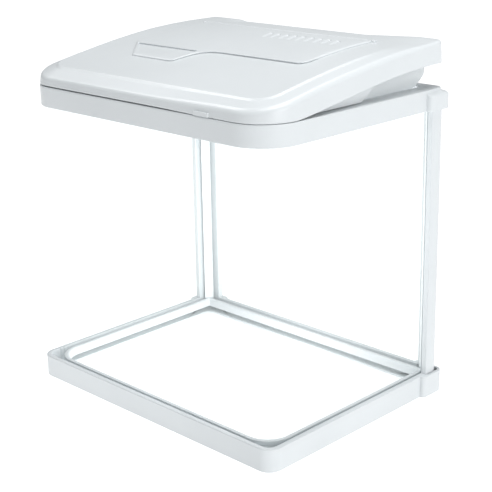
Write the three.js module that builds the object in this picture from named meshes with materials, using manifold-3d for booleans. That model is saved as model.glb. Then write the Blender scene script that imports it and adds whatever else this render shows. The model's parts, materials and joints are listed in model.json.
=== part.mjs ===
// A small white aquarium: a bent-glass tank held between two plastic frames, under a hinged hood that
// carries the lamp, the filter and its pump. Millimetres, +Z up, the front faces -Y.
import * as THREE from 'three';
import { mergeVertices } from 'three/addons/utils/BufferGeometryUtils.js';
import Module from 'manifold-3d';

const wasm = await Module();
wasm.setup();

// ---------------------------------------------------------------- driving dimensions
const frameWidth = 380;
const frameDepth = 283;
const socketProud = 5; // how far the post sockets stand out of the frames
const tankHeight = 356; // top of the upper frame
const bottomHeight = 26;
const topFrameHeight = 23;
const wall = 2.6; // plastic wall of both frames
const ledgeTop = 10; // the glass stands on this ledge
const ledgeWidth = 18;
const trimWidth = 7; // the white trim inside the glass, on the floor pane
const trimTop = 25;
const floorBead = 4;
const glassInset = 6; // outer glass face behind the frame's outer face
const glass = 4;
const floorGlassThickness = 5;
const fit = 0.35; // gap between pieces that touch
const bottomCorner = 16;
const cavityRearCorner = 0.6; // the frames' inside corners stay square behind the glass corners
const topCorner = 45;
const glassCorner = 36;
const topInset = 1; // the upper frame is this much smaller than the lower one
const rimWidth = 20; // width of the upper frame's top flange
const rearRimWidth = 15;
const postLeg = 25; // length of each leg of a corner post
const postProud = 1;
const postCorner = 13;
const pocketCorner = 6; // squarer than the post, which leaves a small gap behind it
const socketLength = 38;
const socketCorner = 10;
const hoodInset = 1.5;
const hoodShellThickness = 2.4;
const hoodCorner = 44;
const seam = 1; // gap between the hood's front skirt and the upper frame
const hoodRearCorner = 14;
const crown = 4; // the hood's top plateau above its rim
const plateauInset = 22;
const plateauCorner = 30;
const panInset = 24; // hood's inner pan, from the frame's outer face
const panBottom = tankHeight - 6;
const panHeelRun = 58; // the pan's rear end curves up over this length ...
const panHeelRise = 36; // ... and this height
const hingeBayHalf = 134; // between its rear corners the pan steps forward to clear the hinges
const panWall = 2;
const coverStep = 2; // the access cover stands this much above the plateau

const halfWidth = frameWidth / 2;
const front = -(frameDepth + socketProud) / 2;
const back = front + frameDepth;
const topFrameBottom = tankHeight - topFrameHeight;
const glassOuter = halfWidth - glassInset;
const glassBack = back - glassInset;
const glassTop = tankHeight - 4;
const hoodFront = front + hoodInset;
const hoodBack = back + 2.5;
const hoodHalf = halfWidth - hoodInset;
const panHalf = halfWidth - panInset;
const panFront = front + panInset;
const panBack = front + 282.5;
const hingeBayFront = front + 270.5;
const pivotY = front + 277.5;
const pivotZ = tankHeight + 13;
const hingeOffsets = [-110, 110];
const hingeRadius = 6;
const pinRadius = 2;
const pinBore = 2.4;
const screwRadius = 1.5;
const screwHole = 1.8;
const below = tankHeight - 30; // a level under every part of the hood
const above = tankHeight + 90; // a level over the whole object

// ---------------------------------------------------------------- materials
const plastic = new THREE.MeshStandardMaterial({ color: 0xe9edef, roughness: 0.42, metalness: 0 });
const innerPlastic = new THREE.MeshStandardMaterial({ color: 0xd5d9dc, roughness: 0.55, metalness: 0 });
const clearGlass = new THREE.MeshStandardMaterial({
  color: 0xf4fbfa, roughness: 0.05, metalness: 0, transparent: true, opacity: 0.3,
});
const silicone = new THREE.MeshStandardMaterial({ color: 0xe6eaea, roughness: 0.35, metalness: 0 });
const steel = new THREE.MeshStandardMaterial({ color: 0xb9bcc0, roughness: 0.3, metalness: 1 });
const blackPlastic = new THREE.MeshStandardMaterial({ color: 0x1c1e20, roughness: 0.5, metalness: 0 });
const boardMaterial = new THREE.MeshStandardMaterial({ color: 0xf0f0ea, roughness: 0.4, metalness: 0.2 });
const spongeMaterial = new THREE.MeshStandardMaterial({ color: 0x2f4f6a, roughness: 1, metalness: 0 });
const carbonMaterial = new THREE.MeshStandardMaterial({ color: 0x2a2a2a, roughness: 1, metalness: 0 });
const ceramic = new THREE.MeshStandardMaterial({ color: 0xf2efe6, roughness: 0.3, metalness: 0 });

// ---------------------------------------------------------------- solid helpers
function toSolid(geometry) {
  const bare = geometry.index ? geometry.toNonIndexed() : geometry.clone();
  bare.deleteAttribute('normal');
  bare.deleteAttribute('uv');
  const merged = mergeVertices(bare, 1e-4);
  return new wasm.Manifold(new wasm.Mesh({
    numProp: 3,
    vertProperties: new Float32Array(merged.attributes.position.array),
    triVerts: new Uint32Array(merged.index.array),
  }));
}

function toMesh(solid, name, material) {
  const { vertProperties, triVerts } = solid.getMesh();
  const geometry = new THREE.BufferGeometry();
  geometry.setAttribute('position', new THREE.BufferAttribute(new Float32Array(vertProperties), 3));
  geometry.setIndex(new THREE.BufferAttribute(new Uint32Array(triVerts), 1));
  geometry.computeVertexNormals();
  const mesh = new THREE.Mesh(geometry, material);
  mesh.name = name;
  return mesh;
}

const join = (...solids) => solids.reduce((whole, solid) => whole.add(solid));

// A plan outline (X, Y) raised from one height to another.
function raise(shape, low, high, curveSegments = 8) {
  const depth = high - low;
  const geometry = new THREE.ExtrudeGeometry(shape, { depth, bevelEnabled: false, curveSegments });
  return toSolid(geometry.translate(0, 0, low));
}

// A side profile (Y, Z) drawn out along X.
const profileToWorld = new THREE.Matrix4().set(0, 0, 1, 0, 1, 0, 0, 0, 0, 1, 0, 0, 0, 0, 0, 1);
function drawAcross(shape, left, right, curveSegments = 8) {
  const depth = right - left;
  const geometry = new THREE.ExtrudeGeometry(shape, { depth, bevelEnabled: false, curveSegments });
  return toSolid(geometry.applyMatrix4(profileToWorld).translate(left, 0, 0));
}

function block(x0, x1, y0, y1, z0, z1) {
  const geometry = new THREE.BoxGeometry(x1 - x0, y1 - y0, z1 - z0);
  return toSolid(geometry.translate((x0 + x1) / 2, (y0 + y1) / 2, (z0 + z1) / 2));
}

// A rod along 'x', 'y' or 'z' from start to end, centred on the other two coordinates given in order.
function rod(axis, start, end, first, second, radius, sides = 20) {
  const geometry = new THREE.CylinderGeometry(radius, radius, end - start, sides);
  const middle = (start + end) / 2;
  if (axis === 'x') geometry.rotateZ(Math.PI / 2).translate(middle, first, second);
  if (axis === 'y') geometry.translate(first, middle, second);
  if (axis === 'z') geometry.rotateX(Math.PI / 2).translate(first, second, middle);
  return toSolid(geometry);
}

// A rectangle in plan whose front and rear corners are rounded by their own radii.
function roundedPlan(half, y0, y1, frontRadius, rearRadius) {
  const shape = new THREE.Shape();
  shape.moveTo(-half + frontRadius, y0);
  shape.lineTo(half - frontRadius, y0);
  shape.absarc(half - frontRadius, y0 + frontRadius, frontRadius, -Math.PI / 2, 0, false);
  shape.lineTo(half, y1 - rearRadius);
  shape.absarc(half - rearRadius, y1 - rearRadius, rearRadius, 0, Math.PI / 2, false);
  shape.lineTo(-half + rearRadius, y1);
  shape.absarc(-half + rearRadius, y1 - rearRadius, rearRadius, Math.PI / 2, Math.PI, false);
  shape.lineTo(-half, y0 + frontRadius);
  shape.absarc(-half + frontRadius, y0 + frontRadius, frontRadius, Math.PI, 1.5 * Math.PI, false);
  return shape;
}

function mirrorX(solid) {
  return solid.mirror([1, 0, 0]);
}

// ---------------------------------------------------------------- hood curves
// The hood's rim climbs as a quarter sine from the front and levels out towards the back.
const rimStart = tankHeight + 11.8;
const rimRise = 32.5;
const rimRun = 250;
const rimHeight = (y) => {
  const t = Math.min(Math.max(y - front, 0) / rimRun, 1);
  return rimStart + rimRise * Math.sin((Math.PI / 2) * t);
};

// Its lower edge lies on the frame at the front, then sweeps up in the same way to leave the rear open.
const skirtStart = 45;
const skirtRun = 230;
const skirtRise = 25.5;
const skirtHeight = (y) => {
  const t = Math.min(Math.max((y - front - skirtStart) / skirtRun, 0), 1);
  return tankHeight + seam + skirtRise * Math.sin((Math.PI / 2) * t) ** 1.25;
};

// A closed side profile between two height functions of y.
function profileBetween(lower, upper, y0, y1, steps) {
  const shape = new THREE.Shape();
  const along = (i) => y0 + ((y1 - y0) * i) / steps;
  shape.moveTo(y0, lower(y0));
  for (let i = 1; i <= steps; i += 1) shape.lineTo(along(i), lower(along(i)));
  for (let i = steps; i >= 0; i -= 1) shape.lineTo(along(i), upper(along(i)));
  shape.closePath();
  return shape;
}

const hoodSteps = 14;
const plateauHeight = (y) => rimHeight(y) + crown;
const slabAbove = (lower) => {
  const shape = profileBetween(lower, () => above, front, back, 2 * hoodSteps);
  return drawAcross(shape, -halfWidth, halfWidth);
};
const slabUnder = (upper, half, y0, y1) => {
  const shape = profileBetween(() => below, upper, y0, y1, hoodSteps);
  return drawAcross(shape, -half, half);
};

// ---------------------------------------------------------------- access cover outline
// The cover turns on two stubs at its rear edge, which is rounded about the same axis.
// The cover's front edge runs straight across, then curves forward on the left into a finger scoop.
const coverHalf = 129;
const coverFront = front + 120;
const coverBack = front + 232;
const scoopFront = front + 78;
const scoopLeft = -90;
const scoopRight = -22;
const coverAxisLift = 1.2;
const coverAxisZ = plateauHeight(coverBack) + coverAxisLift;
const coverGap = 0.35;
const coverStubRadius = 0.8;
const earLength = 3.2;
const scoopDepth = 0.9; // below the cover's top surface
const scoopPocketDepth = 1.4; // below the hood's plateau, under the scoop

function coverPlan() {
  const shape = new THREE.Shape();
  const corner = 11;
  shape.moveTo(coverHalf - corner, coverFront);
  shape.absarc(coverHalf - corner, coverFront + corner, corner, -Math.PI / 2, 0, false);
  shape.lineTo(coverHalf, coverBack);
  shape.lineTo(-coverHalf, coverBack);
  shape.lineTo(-coverHalf, coverFront);
  shape.lineTo(scoopLeft, scoopFront + 1);
  shape.lineTo(scoopRight - 10, scoopFront);
  shape.quadraticCurveTo(scoopRight, scoopFront, scoopRight, scoopFront + 10);
  shape.bezierCurveTo(scoopRight + 4, scoopFront + 30, -14, coverFront, 14, coverFront);
  shape.closePath();
  return shape;
}

// ---------------------------------------------------------------- tank
// The thick lump at each rear corner of a frame, into which a post is pushed.
function socketLumps(z0, z1) {
  const shape = new THREE.Shape();
  const outer = halfWidth + socketProud;
  const rear = back + socketProud;
  const sideCorner = 6;
  shape.moveTo(outer - socketLength, rear - socketLength);
  shape.lineTo(outer - sideCorner, rear - socketLength);
  shape.absarc(outer - sideCorner, rear - socketLength + sideCorner, sideCorner, -Math.PI / 2, 0, false);
  shape.lineTo(outer, rear - socketCorner);
  shape.absarc(outer - socketCorner, rear - socketCorner, socketCorner, 0, Math.PI / 2, false);
  shape.lineTo(outer - socketLength + sideCorner, rear);
  shape.absarc(outer - socketLength + sideCorner, rear - sideCorner, sideCorner, Math.PI / 2, Math.PI, false);
  shape.closePath();
  const right = raise(shape, z0, z1);
  return join(right, mirrorX(right));
}

// An angle that wraps the glass corner from outside; grow widens it into the pocket of a socket.
function postPlan(grow, corner) {
  const outer = halfWidth + postProud + grow;
  const rear = back + postProud + grow;
  const innerX = glassOuter + fit;
  const innerY = glassBack + fit;
  const shape = new THREE.Shape();
  shape.moveTo(innerX, rear - postLeg - 2 * grow);
  shape.lineTo(outer, rear - postLeg - 2 * grow);
  shape.lineTo(outer, rear - corner);
  shape.absarc(outer - corner, rear - corner, corner, 0, Math.PI / 2, false);
  shape.lineTo(outer - postLeg - 2 * grow, rear);
  shape.lineTo(outer - postLeg - 2 * grow, innerY);
  shape.lineTo(innerX, innerY);
  shape.closePath();
  return shape;
}

const postBottom = ledgeTop + fit;
const postTop = glassTop - 1;

function rearPost(side) {
  const right = raise(postPlan(0, postCorner), postBottom, postTop);
  return side > 0 ? right : mirrorX(right);
}

function postPockets(z0, z1) {
  const right = raise(postPlan(fit, pocketCorner), z0, z1);
  return join(right, mirrorX(right));
}

function bottomFrame() {
  const body = join(
    raise(roundedPlan(halfWidth, front, back, bottomCorner, bottomCorner), 0, bottomHeight),
    socketLumps(0, bottomHeight - 1),
  );
  const window = roundedPlan(halfWidth - ledgeWidth, front + ledgeWidth, back - ledgeWidth, 6, 14);
  const rim = glassInset - fit; // the rim reaches in to the glass
  const cavity = roundedPlan(
    halfWidth - rim, front + rim, back - rim, bottomCorner - rim, cavityRearCorner,
  );
  return body
    .subtract(raise(window, -1, ledgeTop + 1))
    .subtract(raise(cavity, ledgeTop, bottomHeight + 1))
    .subtract(postPockets(ledgeTop, bottomHeight + 1));
}

const topHalf = halfWidth - topInset;
const topFront = front + topInset;
const topBack = back - topInset;
const openingHalf = topHalf - rimWidth;
const openingFront = topFront + rimWidth;
const openingBack = topBack - rearRimWidth;

function hingeEars() {
  const ears = [];
  const halfEar = 2.5;
  const spread = 8; // from the middle of a hinge to the middle of each of its two ears
  for (const offset of hingeOffsets) {
    for (const side of [-1, 1]) {
      const left = offset + side * spread - halfEar;
      const right = offset + side * spread + halfEar;
      const upright = block(left, right, pivotY - hingeRadius, back - 1.5, tankHeight - 2, pivotZ);
      ears.push(join(upright, rod('x', left, right, pivotY, pivotZ, hingeRadius, 24)));
    }
  }
  const bores = hingeOffsets.map((x) => rod('x', x - 12, x + 12, pivotY, pivotZ, pinBore));
  return join(...ears).subtract(join(...bores));
}

function topFrame() {
  const flange = 3;
  const lip = 2.4;
  const lipBottom = tankHeight - 12;
  const body = join(
    raise(roundedPlan(topHalf, topFront, topBack, topCorner, bottomCorner), topFrameBottom, tankHeight),
    socketLumps(topFrameBottom - 1, tankHeight - 4),
  );
  const cavity = raise(
    roundedPlan(topHalf - wall, topFront + wall, topBack - wall, topCorner - wall, cavityRearCorner),
    topFrameBottom - 2, tankHeight - flange,
  );
  const lipRing = raise(
    roundedPlan(openingHalf + lip, openingFront - lip, openingBack + lip, 24, 12), lipBottom, tankHeight - 1,
  );
  const opening = roundedPlan(openingHalf, openingFront, openingBack, 22, 10);
  return body
    .subtract(cavity)
    .subtract(postPockets(topFrameBottom - 2, postTop + fit))
    .add(lipRing)
    .subtract(raise(opening, topFrameBottom - 2, tankHeight + 1))
    .add(hingeEars());
}

// One pane bent round both front corners: left side, front and right side.
function bentGlass() {
  const outer = roundedPlan(glassOuter, front + glassInset, glassBack + 40, glassCorner, 1);
  const inner = roundedPlan(
    glassOuter - glass, front + glassInset + glass, glassBack + 50, glassCorner - glass, 1,
  );
  const bottom = ledgeTop + fit;
  return raise(outer, bottom, glassTop - fit, 12)
    .subtract(raise(inner, bottom - 1, glassTop + 1, 12))
    .subtract(block(-halfWidth, halfWidth, glassBack, glassBack + 60, 0, tankHeight));
}

function backGlass() {
  const half = glassOuter - glass - fit;
  return block(-half, half, glassBack - glass, glassBack, ledgeTop + fit, glassTop - fit);
}

const floorTop = ledgeTop + fit + floorGlassThickness;
const innerHalf = glassOuter - glass - fit;
const innerFront = front + glassInset + glass + fit;
const innerBack = glassBack - glass - fit;

function floorGlass() {
  const plan = roundedPlan(innerHalf, innerFront, innerBack, glassCorner - glass, 1);
  return raise(plan, ledgeTop + fit, floorTop, 12);
}

// The bead of silicone in the corner between the floor and the walls.
function floorSeal() {
  const base = floorTop + fit;
  return raise(insideGlass(0), base, base + floorBead)
    .subtract(raise(insideGlass(floorBead), base - 1, base + floorBead + 1));
}

// The tank's inside in plan, drawn in by a distance from the glass.
function insideGlass(distance) {
  const corner = glassCorner - glass - distance;
  return roundedPlan(
    innerHalf - distance, innerFront + distance, innerBack - distance, corner, 1,
  );
}

// A white trim that stands on the floor pane against the glass and covers the floor's silicone.
function innerTrim() {
  const base = floorTop + fit;
  const bead = floorBead + fit;
  const rebate = block(-halfWidth, halfWidth, front, back, base - 1, base + bead)
    .subtract(raise(insideGlass(bead), base - 2, base + bead + 1));
  return raise(insideGlass(0), base, trimTop)
    .subtract(raise(insideGlass(trimWidth), base - 1, trimTop + 1))
    .subtract(rebate);
}

// The bead of silicone in each rear corner of the tank, drawn as a triangle in plan.
function cornerSeal(side) {
  const bead = 8;
  const shape = new THREE.Shape();
  shape.moveTo(innerHalf, innerBack);
  shape.lineTo(innerHalf - bead, innerBack);
  shape.lineTo(innerHalf, innerBack - bead);
  shape.closePath();
  const right = raise(shape, trimTop + fit, glassTop - 14);
  return side > 0 ? right : mirrorX(right);
}

// ---------------------------------------------------------------- hood
const openingInCover = { half: 118, front: front + 128, back: front + 227 };
const panScrews = [[-150, front + 48], [150, front + 48], [-150, front + 222], [150, front + 222]];
const liftTab = { x0: 91, x1: 112 };
const switchX = -60;
const glandX = 60;
const glandRadius = 4;
const rearFittingZ = tankHeight + 35;

// The hood filled solid and drawn in by an inset: a rim with a raised plateau that runs to the rear.
function hoodBlock(inset) {
  const half = hoodHalf - inset;
  const y0 = hoodFront + inset;
  const y1 = hoodBack - inset;
  const rearCorner = hoodRearCorner - inset;
  const rimPlan = roundedPlan(half, y0, y1, hoodCorner - inset, rearCorner);
  const plateauPlan = roundedPlan(
    half - plateauInset, y0 + plateauInset, y1, plateauCorner - inset, rearCorner,
  );
  return join(
    slabUnder((y) => rimHeight(y) - inset, half, y0, y1).intersect(raise(rimPlan, below, above)),
    slabUnder((y) => plateauHeight(y) - inset, half, y0, y1).intersect(raise(plateauPlan, below, above)),
  );
}

// Everything cut out of the shell for the parts that pass through it or turn in it.
function hoodHoles() {
  const stubEnd = coverHalf + earLength + 2;
  const { half, front: openingFront, back: openingBack } = openingInCover;
  return join(
    block(-half, half, openingFront, openingBack, tankHeight + 10, above),
    rod('x', -stubEnd, stubEnd, coverBack, coverAxisZ, coverStubRadius + fit, 12),
    ...hingeOffsets.map((x) => rod('x', x - 6, x + 6, pivotY, pivotZ, pinBore)),
    ...panScrews.map(([x, y]) => rod('z', panBottom, panBottom + 17, x, y, screwHole, 12)),
    block(switchX - 8.4, switchX + 8.4, hoodBack - 5, hoodBack + 5, rearFittingZ - 5.4, rearFittingZ + 5.4),
    rod('y', hoodBack - 5, hoodBack + 5, glandX, rearFittingZ, glandRadius + 0.4),
  );
}

function hoodShell() {
  const sweep = profileBetween(() => below, skirtHeight, hoodFront - 1, hoodBack + 1, hoodSteps);
  const shell = hoodBlock(0)
    .subtract(drawAcross(sweep, -halfWidth, halfWidth))
    .subtract(hoodBlock(hoodShellThickness))
    .subtract(scoopPocket());
  return join(shell, ...hingeLugs(), ...screwBosses(), ...coverEars(), frontTab()).subtract(hoodHoles());
}

// A shallow pocket in the shell under the cover's finger scoop.
function scoopPocket() {
  const plan = new THREE.Shape();
  plan.moveTo(-coverHalf + 8, coverFront - 2);
  plan.lineTo(scoopLeft, scoopFront);
  plan.lineTo(scoopRight, scoopFront);
  plan.lineTo(scoopRight, coverFront - 2);
  plan.closePath();
  return slabAbove((y) => plateauHeight(y) - scoopPocketDepth).intersect(raise(plan, below, above));
}

// Two lugs hang from the rear of the shell and turn on the hinge pins between the frame's ears.
function hingeLugs() {
  const halfLug = 5;
  const stemTop = plateauHeight(hoodBack) - 1;
  return hingeOffsets.map((x) => {
    const stem = block(x - halfLug, x + halfLug, pivotY - hingeRadius, hoodBack - 1, pivotZ, stemTop);
    const relief = block(x - halfLug - 1, x + halfLug + 1, pivotY + hingeRadius - 1, hoodBack + 1,
      pivotZ - 1, skirtHeight(hoodBack) + 0.5);
    return join(stem.subtract(relief), rod('x', x - halfLug, x + halfLug, pivotY, pivotZ, hingeRadius, 24));
  });
}

// Two small ears on the plateau take the stubs at the cover's rear corners.
function coverEars() {
  const gap = 0.6;
  return [-1, 1].map((side) => {
    const inner = side * (coverHalf + gap);
    const outer = side * (coverHalf + gap + earLength);
    return block(Math.min(inner, outer), Math.max(inner, outer), coverBack - 3, coverBack + 3,
      plateauHeight(coverBack) - 1, coverAxisZ + 1.8);
  });
}

function screwBosses() {
  return panScrews.map(([x, y]) => rod('z', panBottom + panWall + fit, plateauHeight(y) - 1, x, y, 4.5, 16));
}

// The small finger tab under the front edge, right of the middle.
function frontTab() {
  return block(liftTab.x0, liftTab.x1, hoodFront - 0.8, hoodFront + 2, tankHeight + 0.4, tankHeight + 5);
}

// The pan closes the hood from below; its rounded rear heel clears the frame as the hood opens.
function panProfile(inset) {
  const shape = new THREE.Shape();
  const y0 = panFront + inset;
  const y1 = panBack - inset;
  const heelRun = panHeelRun - inset;
  const heelRise = panHeelRise - inset;
  const floor = panBottom + inset;
  const roof = (y) => rimHeight(y) - hoodShellThickness - 0.6;
  shape.moveTo(y0, floor);
  shape.lineTo(y1 - heelRun, floor);
  shape.absellipse(y1 - heelRun, floor + heelRise, heelRun, heelRise, -Math.PI / 2, 0, false, 0);
  for (let i = hoodSteps; i >= 0; i -= 1) {
    const y = y0 + ((y1 - y0) * i) / hoodSteps;
    shape.lineTo(y, inset > 0 ? above : roof(y));
  }
  shape.closePath();
  return shape;
}

const lensWindow = { half: 96, front: front + 48, back: front + 84 };
const railX = 110;
const railTop = panBottom + 11;
const pumpPlace = { x: 140, y: front + 190 };
const drainSlots = [-84, -56, -28, 0, 28, 56, 84];

function panBlock(inset) {
  const half = panHalf - inset;
  const plan = roundedPlan(half, panFront + inset, panBack - inset, 24 - inset, 10 - inset);
  const bayHalf = hingeBayHalf + inset;
  const hingeBay = block(-bayHalf, bayHalf, hingeBayFront - inset, hoodBack, below, above);
  return drawAcross(panProfile(inset), -half, half, 10)
    .intersect(raise(plan, below, above))
    .subtract(hingeBay);
}

function hoodPan() {
  const through = [
    block(-lensWindow.half, lensWindow.half, lensWindow.front, lensWindow.back, panBottom - 1, panBottom + 4),
    rod('z', panBottom - 1, panBottom + 4, pumpPlace.x, pumpPlace.y, 7.5),
    ...panScrews.map(([x, y]) => rod('z', panBottom - 1, panBottom + 4, x, y, screwHole, 12)),
    ...drainSlots.map((x) => block(x - 8, x + 8, front + 170, front + 174, panBottom - 1, panBottom + 4)),
  ];
  const rails = [-railX, railX].map((x) => block(
    x - 3, x + 3, lensWindow.front - 4, lensWindow.back + 4, panBottom + 1, railTop,
  ));
  return join(panBlock(0).subtract(panBlock(panWall)), ...rails).subtract(join(...through));
}

// A thin rib under the cover drops into the opening and keeps the cover in its place.
function coverRib() {
  const { half, front: y0, back: y1 } = openingInCover;
  const plan = (inset) => roundedPlan(half - inset, y0 + inset, y1 - inset, 3, 3);
  const sheet = profileBetween((y) => plateauHeight(y) - 5, (y) => plateauHeight(y) + 1, y0, y1, 8);
  return drawAcross(sheet, -coverHalf, coverHalf)
    .intersect(raise(plan(0.6), below, above))
    .subtract(raise(plan(2.4), below, above));
}

function accessCover() {
  const bottom = (y) => plateauHeight(y) + coverGap;
  const top = (y) => plateauHeight(y) + coverStep;
  const sheet = drawAcross(
    profileBetween(bottom, top, scoopFront - 1, coverBack, hoodSteps), -halfWidth, halfWidth,
  );
  const stubEnd = coverHalf + earLength;
  const whole = join(
    sheet.intersect(raise(coverPlan(), below, above)),
    rod('x', -coverHalf, coverHalf, coverBack, coverAxisZ, (coverStep - coverGap) / 2, 12),
    rod('x', -stubEnd, stubEnd, coverBack, coverAxisZ, coverStubRadius, 10),
    coverRib(),
  );
  return whole.subtract(fingerScoop()).subtract(join(...ventSlots()));
}

// The scoop's floor drops behind a crisp rear edge so that a finger can lift the cover.
function fingerScoop() {
  const plan = new THREE.Shape();
  plan.moveTo(-coverHalf + 7, coverFront - 3);
  plan.lineTo(scoopLeft + 1, scoopFront - 2);
  plan.lineTo(scoopRight, scoopFront - 2);
  plan.lineTo(scoopRight + 2, coverFront - 3);
  plan.closePath();
  const floor = (y) => plateauHeight(y) + coverStep - scoopDepth;
  return slabAbove(floor).intersect(raise(plan, below, above));
}

const ventCount = 9;
const ventPitch = 12.4;
const ventFirstX = 3;
const ventWidth = 6;
const ventLength = 23;
const ventLean = THREE.MathUtils.degToRad(18);

function ventSlots() {
  return Array.from({ length: ventCount }, (_, i) => {
    const slot = new THREE.BoxGeometry(ventWidth, ventLength, 60);
    slot.rotateZ(ventLean).translate(ventFirstX + i * ventPitch, front + 201, tankHeight + 50);
    return toSolid(slot);
  });
}

// ---------------------------------------------------------------- lamp
function lampLens() {
  const lap = 5;
  const half = lensWindow.half + lap;
  const floor = panBottom + panWall + fit;
  return block(-half, half, lensWindow.front - lap, lensWindow.back + lap, floor, floor + 2);
}

// The aluminium board lies on the pan's two rails with its light-emitting chips facing down.
function ledBoard() {
  const bottom = railTop + fit;
  const middle = (lensWindow.front + lensWindow.back) / 2;
  const board = block(-railX - 3, railX + 3, middle - 13, middle + 13, bottom, bottom + 1.6);
  const chipCount = 12;
  const chipPitch = 16;
  const halfChip = 2.5;
  const chips = [];
  for (const y of [middle - 7, middle + 7]) {
    for (let i = 0; i < chipCount; i += 1) {
      const x = (i - (chipCount - 1) / 2) * chipPitch;
      chips.push(block(x - halfChip, x + halfChip, y - halfChip, y + halfChip, bottom - 1.2, bottom + 0.5));
    }
  }
  return join(board, ...chips);
}

function lampDriver() {
  const floor = panBottom + panWall + fit;
  return block(120, 158, front + 64, front + 112, floor, floor + 17);
}

// ---------------------------------------------------------------- filter
const tray = {
  half: 112, front: front + 134, back: front + 222, bottom: panBottom + panWall + fit, height: 28, wall: 2,
};

function filterTray() {
  const inner = tray.half - tray.wall;
  const floor = tray.bottom + tray.wall;
  const slots = drainSlots.map((x) => block(
    x - 6, x + 6, front + 169, front + 175, tray.bottom - 1, floor + 1,
  ));
  return block(-tray.half, tray.half, tray.front, tray.back, tray.bottom, tray.bottom + tray.height)
    .subtract(block(-inner, inner, tray.front + tray.wall, tray.back - tray.wall, floor, above))
    .subtract(join(...slots));
}

function trayPad(z0, z1) {
  const inset = tray.wall + 0.6;
  const half = tray.half - inset;
  return block(-half, half, tray.front + inset, tray.back - inset, tray.bottom + z0, tray.bottom + z1);
}

function dripPlate() {
  const plate = trayPad(22.4, 24.4);
  const holes = [];
  for (let i = 0; i < 9; i += 1) {
    for (const y of [front + 160, front + 178, front + 196]) {
      holes.push(rod('z', tray.bottom + 20, tray.bottom + 27, -96 + i * 24, y, 2.5, 8));
    }
  }
  return plate.subtract(join(...holes));
}

const pumpBottom = tray.bottom + 8;
const sprayZ = tray.bottom + 33;
const sprayY = front + 146;

// The spray bar starts on the pump's outlet, turns over the tray and runs along it.
function sprayBar() {
  const route = new THREE.CurvePath();
  const bend = 16;
  const end = new THREE.Vector3(-100, sprayY, sprayZ);
  const bendStart = new THREE.Vector3(pumpPlace.x - bend, sprayY, sprayZ);
  const bendCorner = new THREE.Vector3(pumpPlace.x, sprayY, sprayZ);
  const bendEnd = new THREE.Vector3(pumpPlace.x, sprayY + bend, sprayZ);
  const outlet = new THREE.Vector3(pumpPlace.x, pumpPlace.y - 22 - fit, sprayZ);
  route.add(new THREE.LineCurve3(end, bendStart));
  route.add(new THREE.QuadraticBezierCurve3(bendStart, bendCorner, bendEnd));
  route.add(new THREE.LineCurve3(bendEnd, outlet));
  const section = new THREE.Shape();
  section.absarc(0, 0, 4, 0, 2 * Math.PI, false);
  const settings = { steps: 26, curveSegments: 4, extrudePath: route };
  const pipe = toSolid(new THREE.ExtrudeGeometry(section, settings));
  const jets = Array.from({ length: 10 }, (_, i) => {
    const x = -90 + i * 20;
    return rod('z', sprayZ - 5, sprayZ, x, sprayY, 0.8, 6);
  });
  return pipe.subtract(join(...jets));
}

// The pump's housing: a block with a round rotor well on the left and the outlet stub on its front.
function pumpBody() {
  const { x, y } = pumpPlace;
  const bottom = pumpBottom;
  const housing = block(x - 17, x + 17, y - 18, y + 18, bottom, sprayZ + 6);
  const well = rod('x', x - 18, x + 8, y, bottom + 12, 9.5, 28);
  const outlet = rod('y', y - 22, y - 17, x, sprayZ, 5, 20);
  return join(housing, outlet)
    .subtract(well)
    .subtract(rod('y', y - 23, y - 12, x, sprayZ, 2.5, 16));
}

function pumpCover() {
  const { x, y } = pumpPlace;
  const bottom = pumpBottom;
  const face = block(x - 21, x - 17 - fit, y - 16, y + 16, bottom + 1, bottom + 25);
  const grille = [-2, -1, 0, 1, 2].map((i) => block(
    x - 23, x - 16, y + i * 4 - 1, y + i * 4 + 1, bottom + 5, bottom + 19,
  ));
  return face.subtract(join(...grille));
}

const rotorX = { start: pumpPlace.x - 15.5, end: pumpPlace.x + 6 };
const rotorZ = pumpBottom + 12;

function pumpImpeller() {
  const { y } = pumpPlace;
  const z = rotorZ;
  const magnet = rod('x', rotorX.start + 7, rotorX.end, y, z, 6.5, 24);
  const hub = rod('x', rotorX.start, rotorX.start + 8, y, z, 3, 16);
  const blades = [0, 1, 2, 3].map((i) => {
    const blade = new THREE.BoxGeometry(6, 1.2, 16.4);
    blade.rotateX((i * Math.PI) / 4).translate(rotorX.start + 3, y, z);
    return toSolid(blade);
  });
  return join(magnet, hub, ...blades).subtract(rod('x', rotorX.start - 1, rotorX.end + 1, y, z, 1.3, 12));
}

function pumpShaft() {
  return rod('x', pumpPlace.x - 16.6, pumpPlace.x + 7.5, pumpPlace.y, rotorZ, 0.9, 12);
}

// The intake nozzle hangs through the pan's floor; a strainer pipe is pushed on it in use.
function pumpIntake() {
  const { x, y } = pumpPlace;
  const top = pumpBottom - fit;
  const tube = join(
    rod('z', topFrameBottom + 4, top, x, y, 7, 24),
    rod('z', panBottom + panWall + fit, panBottom + panWall + 3, x, y, 10, 24),
  );
  return tube.subtract(rod('z', topFrameBottom, top + 2, x, y, 5, 20));
}

// ---------------------------------------------------------------- small fittings
function hingePin(x) {
  return rod('x', x - 11.4, x + 11.4, pivotY, pivotZ, pinRadius, 20);
}

function panScrew([x, y]) {
  const slot = block(x - 2, x + 2, y - 0.4, y + 0.4, panBottom - 3, panBottom - 1.6);
  return join(
    rod('z', panBottom - 2.4, panBottom - fit, x, y, 3, 16),
    rod('z', panBottom - 1, panBottom + 15, x, y, screwRadius, 12),
  ).subtract(slot);
}

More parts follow.
